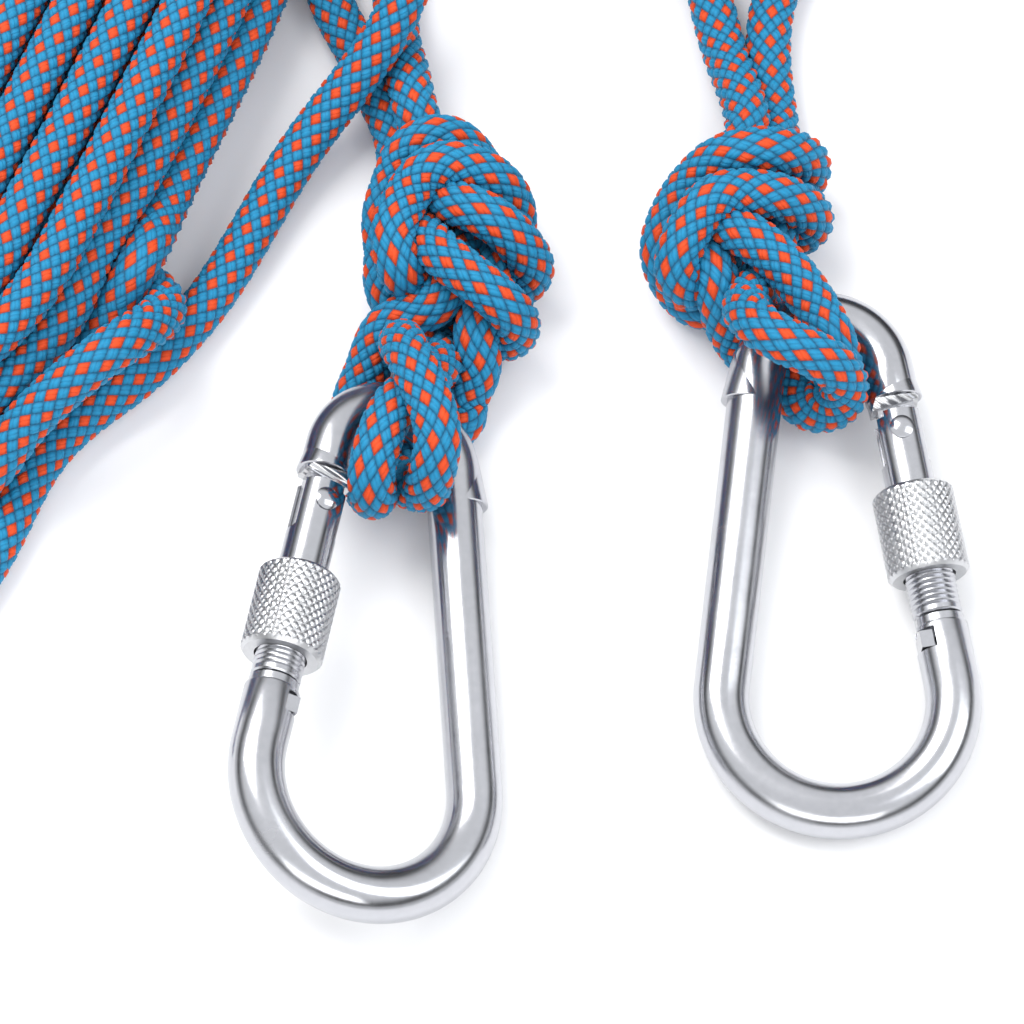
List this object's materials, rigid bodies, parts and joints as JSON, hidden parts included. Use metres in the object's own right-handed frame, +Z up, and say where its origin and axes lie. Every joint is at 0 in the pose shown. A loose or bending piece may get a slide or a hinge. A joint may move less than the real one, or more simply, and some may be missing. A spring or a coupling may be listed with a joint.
{
  "type": "rope ladder",
  "caption": "Folded rope ladder: stacked octagonal tube rungs on doubled braided rope rails, each rail tied by a knotted loop into a screw-gate snap hook.",
  "frame": {"origin": "on the ground plane, under the middle of the box around the rungs and both hooks", "axes": "+X along the rungs towards the right-hand mouths, +Y from the hooks towards the rung stack, +Z up"},
  "size_m": [0.4309, 0.3198, 0.0643],
  "materials": {
    "zinc_plated_steel": "bright zinc plating, polished",
    "knurled_steel": "diamond-knurled plated steel",
    "spring_steel": "spring wire",
    "braided_rope": "braided polyester sheath, blue with orange tracer",
    "rung_plastic": "moulded, lightly textured",
    "bush_rubber": "moulded rubber"
  },
  "bodies": {
    "root": {"rung_1": "rung_plastic", "rung_2": "rung_plastic", "rung_3": "rung_plastic", "rung_4": "rung_plastic", "rung_5": "rung_plastic", "rung_6": "rung_plastic", "left_bush_1": "bush_rubber", "right_bush_1": "bush_rubber", "left_bush_2": "bush_rubber", "right_bush_2": "bush_rubber", "left_bush_3": "bush_rubber", "right_bush_3": "bush_rubber", "left_bush_4": "bush_rubber", "right_bush_4": "bush_rubber", "left_bush_5": "bush_rubber", "right_bush_5": "bush_rubber", "left_bush_6": "bush_rubber", "right_bush_6": "bush_rubber", "left_loop": "braided_rope", "left_knot": "braided_rope", "left_tail_front": "braided_rope", "left_tail_back": "braided_rope", "left_hank": "braided_rope", "right_loop": "braided_rope", "right_knot": "braided_rope", "right_tail_front": "braided_rope", "right_tail_back": "braided_rope", "right_hank": "braided_rope", "left_free_end": "braided_rope", "right_end_knot": "braided_rope"},
    "left_hook": {"left_hook_body": "zinc_plated_steel", "left_gate_pin": "zinc_plated_steel"},
    "left_gate_arm": {"left_gate": "zinc_plated_steel", "left_gate_spring": "spring_steel"},
    "left_plunger": {"left_gate_plunger": "zinc_plated_steel"},
    "left_sleeve": {"left_lock_sleeve": "knurled_steel"},
    "right_hook": {"right_hook_body": "zinc_plated_steel", "right_gate_pin": "zinc_plated_steel"},
    "right_gate_arm": {"right_gate": "zinc_plated_steel", "right_gate_spring": "spring_steel"},
    "right_plunger": {"right_gate_plunger": "zinc_plated_steel"},
    "right_sleeve": {"right_lock_sleeve": "knurled_steel"}
  },
  "joints": [
    {"name": "left_hook_swing", "type": "hinge", "parent": "root", "child": "left_hook", "pos_m": [-0.11684, -0.07351, 0.01145], "axis": [-0.4029, -0.0015, -0.9152], "range_deg": [-10, 10]},
    {"name": "left_gate_open", "type": "hinge", "parent": "left_hook", "child": "left_gate_arm", "pos_m": [-0.12991, -0.08358, 0.01722], "axis": [0.4029, 0.0015, 0.9152], "range_deg": [0, 26], "stiffness_Nm_per_rad": 0.2, "springref_deg": -17.19},
    {"name": "left_plunger_slide", "type": "slide", "parent": "left_gate_arm", "child": "left_plunger", "axis": [-0.1956, -0.9768, 0.0877], "range_m": [0, 0.0011]},
    {"name": "left_sleeve_slide", "type": "slide", "parent": "left_gate_arm", "child": "left_sleeve", "axis": [-0.1956, -0.9768, 0.0877], "range_m": [-0.003, 0.006]},
    {"name": "right_hook_swing", "type": "hinge", "parent": "root", "child": "right_hook", "pos_m": [-0.03894, -0.05521, 0.01065], "axis": [0.0015, -0.0692, 0.9976], "range_deg": [-10, 10]},
    {"name": "right_gate_open", "type": "hinge", "parent": "right_hook", "child": "right_gate_arm", "pos_m": [-0.02517, -0.06595, 0.00988], "axis": [-0.0015, 0.0692, -0.9976], "range_deg": [0, 26], "stiffness_Nm_per_rad": 0.2, "springref_deg": -17.19},
    {"name": "right_plunger_slide", "type": "slide", "parent": "right_gate_arm", "child": "right_plunger", "axis": [0.1657, -0.9838, -0.0685], "range_m": [0, 0.0011]},
    {"name": "right_sleeve_slide", "type": "slide", "parent": "right_gate_arm", "child": "right_sleeve", "axis": [0.1657, -0.9838, -0.0685], "range_m": [0, 0.009]}
  ],
  "couplings": [
    {"joint": "left_plunger_slide", "follows": "left_gate_open", "m_per_rad": 0.0023},
    {"joint": "right_plunger_slide", "follows": "right_gate_open", "m_per_rad": 0.0023}
  ]
}
